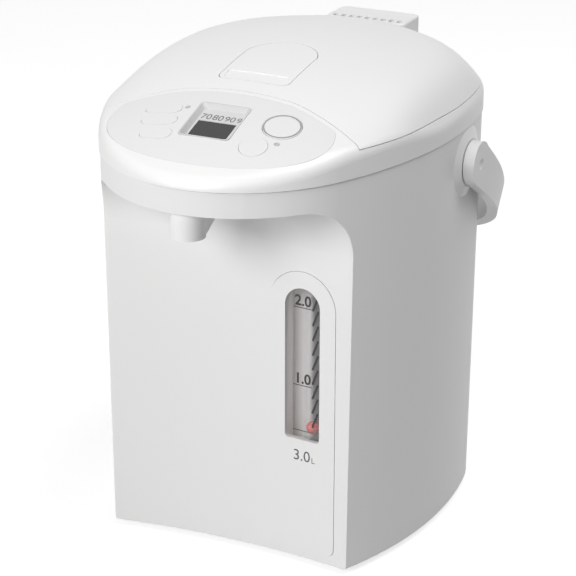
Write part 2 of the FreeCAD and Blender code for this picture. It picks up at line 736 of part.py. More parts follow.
def tank():
    outer = cylinder(TANK_R, TANK_FLOOR_Z - TANK_WALL, TANK_TOP_Z, 0, TANK_Y)
    flange = cylinder(TANK_FLANGE_R, TANK_TOP_Z - TANK_WALL, TANK_TOP_Z, 0, TANK_Y)
    shell = outer.fuse(flange).cut(cylinder(TANK_R - TANK_WALL, TANK_FLOOR_Z, 300, 0, TANK_Y))
    nipple = tube(6.0, 4.5, 58.5, TANK_FLOOR_Z - TANK_WALL, PUMP_X, PUMP_Y)
    return shell.fuse(nipple).cut(cylinder(4.5, 50, 80, PUMP_X, PUMP_Y))


def heater_plate():
    plate = cylinder(52.0, 60.0, TANK_FLOOR_Z - TANK_WALL, 0, TANK_Y + 18)
    return plate.cut(cylinder(12.0, 50, 70, 0, TANK_Y + 18))


def pipe(points, radius, bore, bend):
    """Tube along straight runs joined by arcs of one bend radius."""
    edges = []
    start = points[0]
    for before, corner, after in zip(points, points[1:], points[2:]):
        into = (before - corner).normalize()
        out = (after - corner).normalize()
        half = math.acos(max(-1.0, min(1.0, into.dot(out)))) / 2
        reach = bend / math.tan(half)
        first = corner + into * reach
        last = corner + out * reach
        middle = corner + (into + out).normalize() * (bend / math.sin(half) - bend)
        edges.append(Part.makeLine(start, first))
        edges.append(Part.Arc(first, middle, last).toShape())
        start = last
    edges.append(Part.makeLine(start, points[-1]))
    path = Part.Wire(edges)
    direction = points[1] - points[0]
    solids = []
    for size in (radius, bore):
        ring = Part.Wire(Part.makeCircle(size, points[0], direction))
        solids.append(path.makePipeShell([ring], True, False))
    return solids[0].cut(solids[1])


def pump_housing():
    body = cylinder(19.0, 38.0, 53.0, PUMP_X, PUMP_Y)
    snout = rod_y(5.0, PUMP_Y - 24, PUMP_Y - 4, OUTLET_X, 45.0)
    neck = cylinder(5.5, 53.0, 58.5, PUMP_X, PUMP_Y)
    body = body.fuse([snout, neck])
    chamber = cylinder(16.5, 39.2, 51.0, PUMP_X, PUMP_Y)
    body = body.cut([chamber, rod_y(3.5, PUMP_Y - 30, PUMP_Y - 4, OUTLET_X, 45.0)])
    return body.cut(cylinder(4.0, 48, 60, PUMP_X, PUMP_Y)).fuse(cylinder(1.5, 38.0, 46.0, PUMP_X, PUMP_Y))


def impeller():
    disc = cylinder(14.0, 40.0, 41.5, PUMP_X, PUMP_Y).fuse(cylinder(4.0, 40.0, 48.0, PUMP_X, PUMP_Y))
    blades = []
    for index in range(6):
        blade = box((PUMP_X + 2.5, PUMP_Y - 0.6, 41.0), (PUMP_X + 13.5, PUMP_Y + 0.6, 48.0))
        blade.rotate(Vector(PUMP_X, PUMP_Y, 0), Vector(0, 0, 1), index * 60)
        blades.append(blade)
    return disc.fuse(blades).cut(cylinder(1.5 + PIVOT_FIT, 39, 46.5, PUMP_X, PUMP_Y))


def motor_case():
    case = cylinder(17.0, BODY_LOW_Z + 2.5, 33.5, PUMP_X, PUMP_Y)
    return case.cut(cylinder(1.5 + PIVOT_FIT, 20, 40, PUMP_X, PUMP_Y))


def motor_rotor():
    return cylinder(13.0, 34.2, 37.2, PUMP_X, PUMP_Y).fuse(cylinder(1.5, 22, 34.5, PUMP_X, PUMP_Y))


def discharge_hose():
    points = [Vector(OUTLET_X, PUMP_Y - 24.1, 45), Vector(OUTLET_X, TUBE_Y, 45), Vector(OUTLET_X, TUBE_Y, 63.9)]
    return pipe(points, TUBE_R, 3.6, 9.0)


def riser_pipe():
    points = [Vector(TUBE_X, TUBE_Y, 196.1), Vector(TUBE_X, TUBE_Y, PIPE_Z),
              Vector(VALVE_X + 5.2, VALVE_Y + 6.6, PIPE_Z)]
    return pipe(points, PIPE_R, PIPE_BORE_R, 8.0)


def spout_pipe():
    toward = Vector(VALVE_X, VALVE_Y - SPOUT_Y, 0).normalize()
    start = Vector(VALVE_X, VALVE_Y, PIPE_Z) - toward * 8.0
    end = Vector(0, SPOUT_Y, PIPE_Z) + toward * (SPOUT_R - 2.3)
    run = end - start
    outer = Part.makeCylinder(PIPE_R, run.Length, start, run)
    return outer.cut(Part.makeCylinder(PIPE_BORE_R, run.Length + 2, start - run.normalize(), run))


def valve_housing():
    shell = tube(7.9, 5.2, 234.5, 248.0, VALVE_X, VALVE_Y).fuse(cylinder(7.9, 234.0, 235.0, VALVE_X, VALVE_Y))
    toward = Vector(VALVE_X, VALVE_Y - SPOUT_Y, 0)
    shell = shell.cut(Part.makeCylinder(PIPE_BORE_R, 20, Vector(VALVE_X, VALVE_Y, PIPE_Z), toward * -1))
    inlet = Vector(TUBE_X - VALVE_X, TUBE_Y - VALVE_Y, 0)
    return shell.cut(Part.makeCylinder(PIPE_BORE_R, 20, Vector(VALVE_X, VALVE_Y, PIPE_Z), inlet))


def tip_ball():
    return Part.makeSphere(3.6, Vector(VALVE_X, VALVE_Y, 238.7))


def spout_housing():
    plan = spout_plan(0, 205, 246)
    side = [Vector(-30, y, z) for y, z in ((-145, SPOUT_LOW_Z), (-128, SPOUT_LOW_Z), (SPOUT_WEB_END_Y, BEAK_LOW_Z - 1),
                                           (SPOUT_WEB_END_Y, 236), (-118, 236), (-118, 244.6), (-145, 244.6))]
    profile = Part.Face(Part.makePolygon(side + side[:1])).extrude(Vector(60, 0, 0))
    housing = plan.common(profile)
    housing = housing.cut(cylinder(SPOUT_BORE_R, 200, 243, 0, SPOUT_Y))
    toward = Vector(VALVE_X, VALVE_Y - SPOUT_Y, 0).normalize()
    start = Vector(0, SPOUT_Y, PIPE_Z)
    channel = Part.makeCylinder(PIPE_BORE_R, 30, start, toward)
    seat = Part.makeCylinder(PIPE_R, 30, start + toward * (SPOUT_R - 2.4), toward)
    return housing.cut([channel, seat])


# Gauge

def gauge_panel():
    plate = arch_prism(GAUGE_LEFT_X, GAUGE_RIGHT_X, GAUGE_LOW_Z, GAUGE_TOP_Z, 4.5).common(face_layer(-0.4, 2.6))
    return plate.cut(arch_prism(WINDOW_LEFT_X, WINDOW_RIGHT_X, WINDOW_LOW_Z, WINDOW_TOP_Z, 2.5))


def gauge_lens():
    lens = arch_prism(WINDOW_LEFT_X, WINDOW_RIGHT_X, WINDOW_LOW_Z, WINDOW_TOP_Z, 2.5, -0.05)
    return lens.common(face_layer(0.6, 2.4))


def gauge_tray():
    front_y = bay_face_y(30, 2.7)
    back_y = TUBE_Y + TUBE_R + 2.8
    tray = box((31.5, front_y - 1.5, 72), (61.5, back_y, 182)).cut(face_layer(-30, 2.7))
    tray = tray.cut(box((33.5, -100, 74), (59.5, back_y - 1.2, 180)))
    return tray.cut(cylinder(TUBE_R + 0.2, 60, 200, TUBE_X, TUBE_Y))


def gauge_scale():
    back_y = TUBE_Y + TUBE_R + 1.4
    return box((33.7, back_y - 0.8, 74.2), (59.3, back_y, 179.8))


def gauge_tube():
    return tube(TUBE_R, TUBE_BORE_R, 64.0, 196.0, TUBE_X, TUBE_Y)


def float_ball():
    return Part.makeSphere(BALL_R, Vector(TUBE_X, TUBE_Y, 84.0))


# Power

def inlet_socket():
    block = box((-SOCKET_HALF_X + 0.2, 101, SOCKET_Z - SOCKET_HALF_Z + 0.2),
                (SOCKET_HALF_X - 0.2, 118, SOCKET_Z + SOCKET_HALF_Z - 0.2))
    block = block.cut(box((-19, 105, SOCKET_Z - 5.5), (19, 125, SOCKET_Z + 5.5)))
    return block.cut(socket_pins())


def socket_pins():
    return Part.makeCompound([rod_y(1.6, 98, 113, x, SOCKET_Z) for x in (-9.5, 9.5)])


def power_board():
    return slab(-62, -4, 20, 72, 2, 16.0, 17.6)


def power_parts():
    shapes = [box((-56, 26, 17.6), (-32, 50, 38)), cylinder(6.5, 17.6, 40, -20, 32),
              cylinder(5.0, 17.6, 34, -20, 48), box((-54, 56, 17.6), (-40, 68, 30))]
    return Part.makeCompound(shapes)


def board_posts():
    shapes = []
    for x, y in ((-58, 24), (-8, 24), (-58, 68), (-8, 68)):
        shapes.append(cylinder(3.0, BODY_LOW_Z + 2.5, 16.0, x, y))
    return Part.makeCompound(shapes)


# Handle

def bail_outline(inset, height):
    """Half-round U of the handle in its own plane, +Y away from the pivots."""
    edges = []
    x = HUB_OUT_X - inset
    start = Vector(x, -20, 0)
    knee = Vector(x, BAIL_STRAIGHT, 0)
    edges.append(Part.makeLine(start, knee))
    turn = 0.0
    point = knee
    for radius, end_turn in BAIL_ARCS:
        radius -= inset
        out = Vector(math.cos(math.radians(turn)), math.sin(math.radians(turn)), 0)
        centre = point - out * radius
        places = []
        for angle in ((turn + end_turn) / 2, end_turn):
            places.append(centre + Vector(math.cos(math.radians(angle)), math.sin(math.radians(angle)), 0) * radius)
        edges.append(Part.Arc(point, places[0], places[1]).toShape())
        point = places[1]
        turn = end_turn
    radius = point.x / math.cos(math.radians(turn))
    crest = Vector(0, point.y - radius * math.sin(math.radians(turn)) + radius, 0)
    far = Vector(-point.x, point.y, 0)
    mirrored = [edge.mirror(Vector(0, 0, 0), Vector(1, 0, 0)) for edge in edges]
    edges.append(Part.Arc(point, crest, far).toShape())
    edges += mirrored
    edges.append(Part.makeLine(start, Vector(-x, -20, 0)))
    wire = Part.Wire(Part.__sortEdges__(edges))
    face = Part.Face(wire)
    face.translate(Vector(0, 0, -height / 2))
    return face.extrude(Vector(0, 0, height))


def handle():
    outer = bail_outline(0, 2 * HUB_R)
    band = outer.cut(bail_outline(BAIL_THICK, 3 * HUB_R))
    taper_end = 60.0
    side = [Vector(-150, u, n) for u, n in ((0, HUB_R - 0.4), (taper_end, BAIL_HALF_HEIGHT), (170, BAIL_HALF_HEIGHT),
                                            (170, -BAIL_HALF_HEIGHT), (taper_end, -BAIL_HALF_HEIGHT),
                                            (0, -HUB_R + 0.4))]
    band = band.common(Part.Face(Part.makePolygon(side + side[:1])).extrude(Vector(300, 0, 0)))
    hubs = []
    for side_sign in (-1, 1):
        low = min(side_sign * HUB_IN_X, side_sign * HUB_OUT_X)
        high = max(side_sign * HUB_IN_X, side_sign * HUB_OUT_X)
        hubs.append(rod_x(HUB_R, low, high, 0, 0))
    bail = band.fuse(hubs)
    for side_sign in (-1, 1):
        low = min(side_sign * 90, side_sign * (HUB_OUT_X - 1.9))
        high = max(side_sign * 90, side_sign * (HUB_OUT_X - 1.9))
        bail = bail.cut(rod_x(PIVOT_R + PIVOT_FIT, low, high, 0, 0))
        bail = bail.cut(Part.makeSphere(6.0, Vector(side_sign * (HUB_OUT_X + 5.0), 0, 0)))
    bail.rotate(Vector(0, 0, 0), Vector(1, 0, 0), -HANDLE_REST)
    bail.translate(Vector(0, PIVOT_Y, PIVOT_Z))
    return bail


def handle_pivot(side):
    low = min(side * 96.5, side * (HUB_OUT_X - 2.2))
    high = max(side * 96.5, side * (HUB_OUT_X - 2.2))
    head_low = min(side * 93.5, side * 96.5)
    head_high = max(side * 93.5, side * 96.5)
    return rod_x(PIVOT_R, low, high, PIVOT_Y, PIVOT_Z).fuse(rod_x(7.5, head_low, head_high, PIVOT_Y, PIVOT_Z))


def all_parts():
    shapes = {
        "body_shell": body_shell(),
        "base_plate": base_plate(),
        "feet": feet(),
        "base_screws": base_screws(),
        "shoulder_ring": shoulder_ring(),
        "control_sheet": control_sheet(),
        "dispense_button": key_cap(round_key(DISPENSE_KEY, 0), DISPENSE_KEY[0], DISPENSE_KEY[1]),
        "lock_button": key_cap(round_key(LOCK_KEY, 0), LOCK_KEY[0], LOCK_KEY[1]),
        "indicator_lenses": Part.makeCompound(lamp_rods(LAMP_R - 0.1, 8.0, 0.0)),
        "lcd_frame": lcd_frame(),
        "lcd_glass": lcd_glass(),
        "lcd_module": lcd_module(),
        "control_board": control_board(),
        "key_switches": key_switches(),
        "lid_cover": lid_cover(),
        "lid_floor": lid_floor(),
        "inner_lid": inner_lid(),
        "lid_gasket": lid_gasket(),
        "steam_block": steam_block(),
        "hinge_pin": rod_x(HINGE_PIN_R, -EAR_OUT_X, EAR_OUT_X, HINGE_Y, HINGE_Z),
        "latch_plate": latch_plate(),
        "latch_tray": latch_tray(),
        "latch_pin": rod_x(1.5, -17, 17, PLATE_PIN_Y, PLATE_PIN_Z),
        "latch_hook": latch_hook(),
        "tank": tank(),
        "tank_gasket": tube(TANK_FLANGE_R, TANK_R - 6, TANK_TOP_Z, TANK_TOP_Z + 2.2, 0, TANK_Y),
        "heat_shield": tube(87.9, 87.3, 72, TANK_TOP_Z - TANK_WALL, 0, TANK_Y),
        "heater_plate": heater_plate(),
        "thermistor": cylinder(4.0, 54, TANK_FLOOR_Z - TANK_WALL, 0, TANK_Y + 18),
        "pump_housing": pump_housing(),
        "impeller": impeller(),
        "motor_case": motor_case(),
        "motor_rotor": motor_rotor(),
        "discharge_hose": discharge_hose(),
        "riser_pipe": riser_pipe(),
        "valve_housing": valve_housing(),
        "tip_ball": tip_ball(),
        "spout_pipe": spout_pipe(),
        "spout_housing": spout_housing(),
        "gauge_panel": gauge_panel(),
        "gauge_lens": gauge_lens(),
        "gauge_tray": gauge_tray(),
        "gauge_scale": gauge_scale(),
        "gauge_tube": gauge_tube(),
        "float_ball": float_ball(),
        "inlet_socket": inlet_socket(),
        "socket_pins": socket_pins(),
        "power_board": power_board(),
        "power_parts": power_parts(),
        "board_posts": board_posts(),
        "handle": handle(),
        "handle_pivot_left": handle_pivot(-1),
        "handle_pivot_right": handle_pivot(1),
    }
    for number, key in enumerate(MENU_KEYS, 1):
        shapes["menu_button_%d" % number] = key_cap(pill_key(key, 0), key[0], key[1])
    return shapes


def main():
    os.makedirs("parts", exist_ok=True)
    low = Vector(1e9, 1e9, 1e9)
    high = Vector(-1e9, -1e9, -1e9)
    for node, shape in all_parts().items():
        shape = shape.removeSplitter() if node not in ("indicator_lenses", "socket_pins") else shape
        shape.exportStep("parts/%s.step" % node)
        bound = shape.optimalBoundingBox()
        low = Vector(min(low.x, bound.XMin), min(low.y, bound.YMin), min(low.z, bound.ZMin))
        high = Vector(max(high.x, bound.XMax), max(high.y, bound.YMax), max(high.z, bound.ZMax))
        print("%-20s solids %d valid %s volume %.0f" % (node, len(shape.Solids), shape.isValid(), shape.Volume))
    print("whole pot from", low, "to", high)


if __name__ == "__main__":
    main()
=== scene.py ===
"""Looks, printed marks and studio of an electric thermo pot."""

import json
import math

import bpy
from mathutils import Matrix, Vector


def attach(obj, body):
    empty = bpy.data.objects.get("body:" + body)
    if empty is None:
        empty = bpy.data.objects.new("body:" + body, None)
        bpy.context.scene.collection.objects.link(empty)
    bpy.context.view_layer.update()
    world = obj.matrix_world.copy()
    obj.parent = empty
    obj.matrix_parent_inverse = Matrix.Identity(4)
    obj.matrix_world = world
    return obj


bl_info = {
    "name": "Thermo Pot",
    "version": (1, 0, 0),
    "blender": (4, 5, 0),
    "location": "3D View > Sidebar > Thermo Pot",
    "description": "Finishes, printed marks and studio of an electric thermo pot",
    "category": "Object",
}

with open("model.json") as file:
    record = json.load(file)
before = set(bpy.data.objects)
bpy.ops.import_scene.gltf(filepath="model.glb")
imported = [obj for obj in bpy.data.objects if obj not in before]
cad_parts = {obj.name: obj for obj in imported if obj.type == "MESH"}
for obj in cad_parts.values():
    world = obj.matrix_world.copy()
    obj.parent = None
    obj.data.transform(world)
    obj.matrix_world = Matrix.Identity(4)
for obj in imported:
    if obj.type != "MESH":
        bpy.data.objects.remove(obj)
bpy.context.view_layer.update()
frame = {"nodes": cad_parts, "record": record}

NODE_BODY = {node: body for body, nodes in frame["record"]["behaviour"]["bodies"].items() for node in nodes}

# Crown of the pot, a dome that the lid, ring, deck and keys share
DOME_LONG_R = 0.398
DOME_CROSS_R = 0.337
DOME_TOP_Z = 0.2894
DOME_APEX_Y = 0.027
DECK_Y = -0.0946

# Hollow front face, a part of an upright cylinder
FACE_R = 0.45625
FACE_AXIS_Y = -0.0795 - FACE_R
WINDOW_FRONT = 0.0006
PANEL_FRONT = -0.0004

# Printed ink
INK_THICKNESS = 0.00006
FONT_CAPITAL_SHARE = 0.7

# Temperatures on the shelf of the display recess
TEMPERATURES = ("70", "80", "90", "98")
TEMPERATURE_FIRST_X = -0.0101
TEMPERATURE_PITCH = 0.0073
SHELF_ALONG = 0.0038
SHELF_HEIGHT = -0.0032

# Gauge: litre numbers with their lines, the refill line, the hatched strip and the capacity.
# A litre mark is a name, its words and its height, a capacity mark a name, words, share of size and place.
LITRE_MARKS = (("litre_two", "2.0", 0.162), ("litre_one", "1.0", 0.114))
LITRE_X = 0.0463
LITRE_RISE = 0.0014
LITRE_WEIGHT = 0.0002
LINE_LEFT_X = 0.0400
LINE_RIGHT_X = 0.0523
REFILL_Z = 0.0855
HATCH_COUNT = 9
HATCH_FIRST_Z = 0.09375
HATCH_PITCH = 0.00905
HATCH_STROKE = (0.0539, 0.0552)
HATCH_STROKE_HEIGHT = 0.0102
HATCH_SLANT = math.radians(21)
HATCH_LEFT_X = 0.0520
HATCH_RIGHT_X = 0.0575
HATCH_TOP_Z = 0.1730
CAPACITY_MARKS = (("capacity_number", "3.0", 1.08, LITRE_X), ("capacity_unit", "L", 0.55, 0.0538))
CAPACITY_Z = 0.0668

# Ring on the large key
LARGE_KEY_X = 0.037
LARGE_KEY_Y = -0.0894
RING_R = 0.0103
RING_LIFT = 0.00018
RING_FLATNESS = 0.12

# Camera and studio
CAMERA_TARGET = Vector((-0.00175, 0.0145, 0.1317))
CAMERA_ROLL = math.radians(0.23)
CAMERA_SHIFT_PIXELS = -9.2
IMAGE_PIXELS = 576
SENSOR_WIDTH = 36.0
LAMPS = (
    ("key_light", (-0.65, -2.4, 1.2), (0, 0, 0.15), (1.6, 1.2), 59.0),
    ("top_light", (0.75, 0.05, 1.8), (0, 0, 0.2), (1.2, 1.2), 21.5),
)
FLOOR_SIZE = 8.0
FLOOR_Z = -0.0001
FLOOR_GREY = (0.42, 0.42, 0.42, 1.0)
FLOOR_GLOW = 0.75
SKY_LIGHT = 0.06
WHITE = (1, 1, 1, 1)


# Shader maths

class Value:
    """A node socket that can be used in a Python expression."""

    def __init__(self, nodes, socket):
        self.nodes = nodes
        self.socket = socket

    def _math(self, operation, first, second):
        node = self.nodes.node("ShaderNodeMath", {0: first, 1: second}, operation=operation)
        return Value(self.nodes, node.outputs[0])

    def __add__(self, other):
        return self._math("ADD", self, other)

    def __radd__(self, other):
        return self._math("ADD", other, self)

    def __mul__(self, other):
        return self._math("MULTIPLY", self, other)

    def __rmul__(self, other):
        return self._math("MULTIPLY", other, self)

    def highest(self, other):
        return self._math("MAXIMUM", self, other)


class Nodes:
    """Adds and links the nodes of one tree."""

    def __init__(self, tree):
        self.tree = tree

    def node(self, kind, sockets=None, **settings):
        """Add a node, make its settings and then fill or link its sockets."""
        made = self.tree.nodes.new(kind)
        for key, value in settings.items():
            setattr(made, key, value)
        for key, value in (sockets or {}).items():
            self.put(made.inputs[key], value)
        return made

    def put(self, socket, value):
        if isinstance(value, Value):
            value = value.socket
        if isinstance(value, bpy.types.NodeSocket):
            self.tree.links.new(value, socket)
        else:
            socket.default_value = value

    def seen_directly(self):
        """1 where the camera, a reflection or a clear part shows the backdrop."""
        path = self.node("ShaderNodeLightPath")
        seen = Value(self, path.outputs["Is Camera Ray"])
        for ray in ("Is Glossy Ray", "Is Transmission Ray"):
            seen = seen.highest(path.outputs[ray])
        return seen


class Paint(Nodes):
    """Builds one node material on a Principled shader."""

    def __init__(self, name):
        self.material = bpy.data.materials.new(name)
        self.material.use_nodes = True
        super().__init__(self.material.node_tree)
        self.shader = self.tree.nodes["Principled BSDF"]
        self.coordinates = self.node("ShaderNodeTexCoord").outputs["Object"]

    def noise(self, scale, detail=2.0, stretch=(1.0, 1.0, 1.0)):
        place = self.node("ShaderNodeMapping", {"Vector": self.coordinates, "Scale": stretch})
        made = self.node("ShaderNodeTexNoise",
                         {"Vector": place.outputs["Vector"], "Scale": scale, "Detail": detail})
        return Value(self, made.outputs["Fac"])

    def shaded(self, share, colour, first, second):
        """The colour, from its first factor where the share is 0 to its second where it is 1."""
        made = self.node("ShaderNodeMix", data_type="RGBA")
        inputs = [socket for socket in made.inputs if socket.type == "RGBA"]
        outputs = [socket for socket in made.outputs if socket.type == "RGBA"]
        self.put(made.inputs["Factor"], share)
        self.put(inputs[0], tinted(colour, first))
        self.put(inputs[1], tinted(colour, second))
        return outputs[0]

    def bump(self, height, distance, strength):
        made = self.node("ShaderNodeBump",
                         {"Height": height, "Distance": distance, "Strength": strength})
        self.put(self.shader.inputs["Normal"], made.outputs["Normal"])

    def set(self, **sockets):
        for key, value in sockets.items():
            self.put(self.shader.inputs[key.replace("_", " ")], value)


def tinted(colour, factor):
    return tuple(min(1.0, channel * factor) for channel in colour[:3]) + (1.0,)


def uneven(level, *layers):
    """A level that each noise moves up and down by half of its swing."""
    total = level - sum(swing for noise, swing in layers) / 2
    for noise, swing in layers:
        total = noise * swing + total
    return total


# Finishes

def moulded_plastic(name, colour, roughness, grain):
    """Moulded plastic: cloudy colour, slightly uneven gloss and a fine pebbled skin."""
    paint = Paint(name)
    cloud = paint.noise(scale=14.0, detail=3.0)
    pebbles = paint.noise(scale=900.0)
    paint.set(Base_Color=paint.shaded(cloud, colour, 1.0, 0.985),
              Roughness=uneven(roughness, (cloud, 0.06), (pebbles, 0.05)))
    paint.bump(pebbles, grain, strength=0.6)
    return paint.material


def drawn_steel(name, colour, roughness, stretch):
    """Metal with drawn lines along one direction."""
    paint = Paint(name)
    lines = paint.noise(scale=60.0, detail=4.0, stretch=stretch)
    paint.set(Base_Color=paint.shaded(lines, colour, 1.06, 0.86), Metallic=1.0,
              Roughness=uneven(roughness, (lines, 0.18)))
    paint.bump(lines, 0.00004, strength=0.5)
    return paint.material


def soft_rubber(name, colour):
    """Matt rubber with a dusty look."""
    paint = Paint(name)
    dust = paint.noise(scale=220.0, detail=4.0)
    paint.set(Base_Color=paint.shaded(dust, colour, 1.12, 0.85), Roughness=uneven(0.695, (dust, 0.15)))
    paint.bump(dust, 0.00005, strength=0.7)
    return paint.material


def clear_plastic(name, colour, cover):
    """Clear moulding: the lower its cover, the more of what lies behind it shows."""
    paint = Paint(name)
    haze = paint.noise(scale=40.0)
    paint.set(Base_Color=paint.shaded(haze, colour, 1.0, 0.97), Roughness=uneven(0.07, (haze, 0.04)),
              Alpha=cover, Specular_IOR_Level=0.2)
    paint.material.blend_method = "BLEND"
    return paint.material


def printed_ink(name, colour):
    """Flat ink with fine specks."""
    paint = Paint(name)
    specks = paint.noise(scale=2500.0)
    paint.set(Base_Color=paint.shaded(specks, colour, 1.1, 0.9), Roughness=uneven(0.45, (specks, 0.1)))
    return paint.material


def circuit_board(name, colour):
    """Lacquered board with darker and lighter traces."""
    paint = Paint(name)
    traces = paint.noise(scale=260.0, detail=0.0, stretch=(1.0, 6.0, 1.0))
    paint.set(Base_Color=paint.shaded(traces, colour, 0.7, 1.3), Roughness=uneven(0.4, (traces, 0.1)))
    return paint.material


# Settings

class PotFinish(bpy.types.PropertyGroup):
    """Colours and gloss of the pot."""
    shell_colour: bpy.props.FloatVectorProperty(
        name="Shell colour", description="White of the body, gauge panel and handle", subtype="COLOR",
        default=(0.78, 0.78, 0.775), min=0.0, max=1.0)
    top_colour: bpy.props.FloatVectorProperty(
        name="Top colour", description="White of the lid, ring, release plate and nozzle", subtype="COLOR",
        default=(0.82, 0.82, 0.815), min=0.0, max=1.0)
    sheet_colour: bpy.props.FloatVectorProperty(
        name="Control sheet colour", description="White of the control sheet and its keys", subtype="COLOR",
        default=(0.745, 0.745, 0.745), min=0.0, max=1.0)
    shell_roughness: bpy.props.FloatProperty(
        name="Shell roughness", description="How matt the white mouldings are", default=0.38,
        min=0.05, max=1.0, subtype="FACTOR")
    ink_colour: bpy.props.FloatVectorProperty(
        name="Ink colour", description="Colour of the marks printed on the gauge window", subtype="COLOR",
        default=(0.018, 0.018, 0.02), min=0.0, max=1.0)
    float_colour: bpy.props.FloatVectorProperty(
        name="Float colour", description="Colour of the ball in the gauge", subtype="COLOR",
        default=(0.80, 0.035, 0.03), min=0.0, max=1.0)


class PotMarks(bpy.types.PropertyGroup):
    """Sizes of the printed marks."""
    number_height: bpy.props.FloatProperty(
        name="Display number height", description="Height of the temperatures above the display",
        default=0.0047, min=0.002, max=0.008, unit="LENGTH")
    litre_height: bpy.props.FloatProperty(
        name="Litre number height", description="Height of the numbers on the gauge",
        default=0.0062, min=0.002, max=0.01, unit="LENGTH")
    line_width: bpy.props.FloatProperty(
        name="Line width", description="Width of the gauge's printed lines", default=0.00045,
        min=0.0002, max=0.002, unit="LENGTH")
    ring_width: bpy.props.FloatProperty(
        name="Key ring width", description="Width of the ring printed on the large key",
        default=0.0007, min=0.0002, max=0.002, unit="LENGTH")


class PotStudio(bpy.types.PropertyGroup):
    """Place and lens of the camera."""
    azimuth: bpy.props.FloatProperty(
        name="Camera azimuth", description="Turn of the camera towards +X", default=math.radians(24.85),
        subtype="ANGLE")
    elevation: bpy.props.FloatProperty(
        name="Camera elevation", description="Height angle of the camera", default=math.radians(21.62),
        subtype="ANGLE")
    distance: bpy.props.FloatProperty(
        name="Camera distance", description="From the camera to the pot's middle", default=1.354,
        min=0.3, unit="LENGTH")
    lens: bpy.props.FloatProperty(
        name="Lens", description="Focal length in millimetres", default=137.7, min=20.0)


# Placing

def choose(*objects):
    """Select these objects alone, with the last one active."""
    bpy.ops.object.select_all(action="DESELECT")
    for item in objects:
        item.select_set(True)
    bpy.context.view_layer.objects.active = objects[-1]


def give_finish(item, material):
    item.data.materials.clear()
    item.data.materials.append(material)


def settle(piece, material, body):
    """Apply the place, give the finish and let the piece ride on its body."""
    choose(piece)
    if piece.type != "MESH":
        bpy.ops.object.convert(target="MESH")
        piece = bpy.context.object
    bpy.ops.object.transform_apply(location=True, rotation=True, scale=True)
    give_finish(piece, material)
    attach(piece, body)


def on_deck(x, along, height, y=DECK_Y):
    """Point and turn of something that lies on the sloping deck."""
    tilt = math.asin((DOME_APEX_Y - y) / DOME_LONG_R)
    up = Vector((0, -math.sin(tilt), math.cos(tilt)))
    back = Vector((0, math.cos(tilt), math.sin(tilt)))
    dome_z = DOME_TOP_Z - DOME_LONG_R + math.sqrt(DOME_LONG_R ** 2 - (y - DOME_APEX_Y) ** 2)
    place = Vector((x, y, dome_z)) + back * along + up * height
    return place, (tilt, 0.0, 0.0)


def on_face(x, z, front):
    """Point of the hollow front face, and the turn about Z of what lies flat on it."""
    y = FACE_AXIS_Y + math.sqrt((FACE_R + front) ** 2 - x ** 2) - INK_THICKNESS / 2
    return (x, y, z), -math.asin(x / FACE_R)


def lettering(name, words, height, place, turn):
    bpy.ops.object.text_add(location=place, rotation=turn)
    text = bpy.context.object
    text.name = name
    text.data.body = words
    text.data.size = height / FONT_CAPITAL_SHARE
    text.data.align_x = "CENTER"
    text.data.align_y = "BOTTOM_BASELINE"
    text.data.extrude = INK_THICKNESS / 2
    return text


# Operators

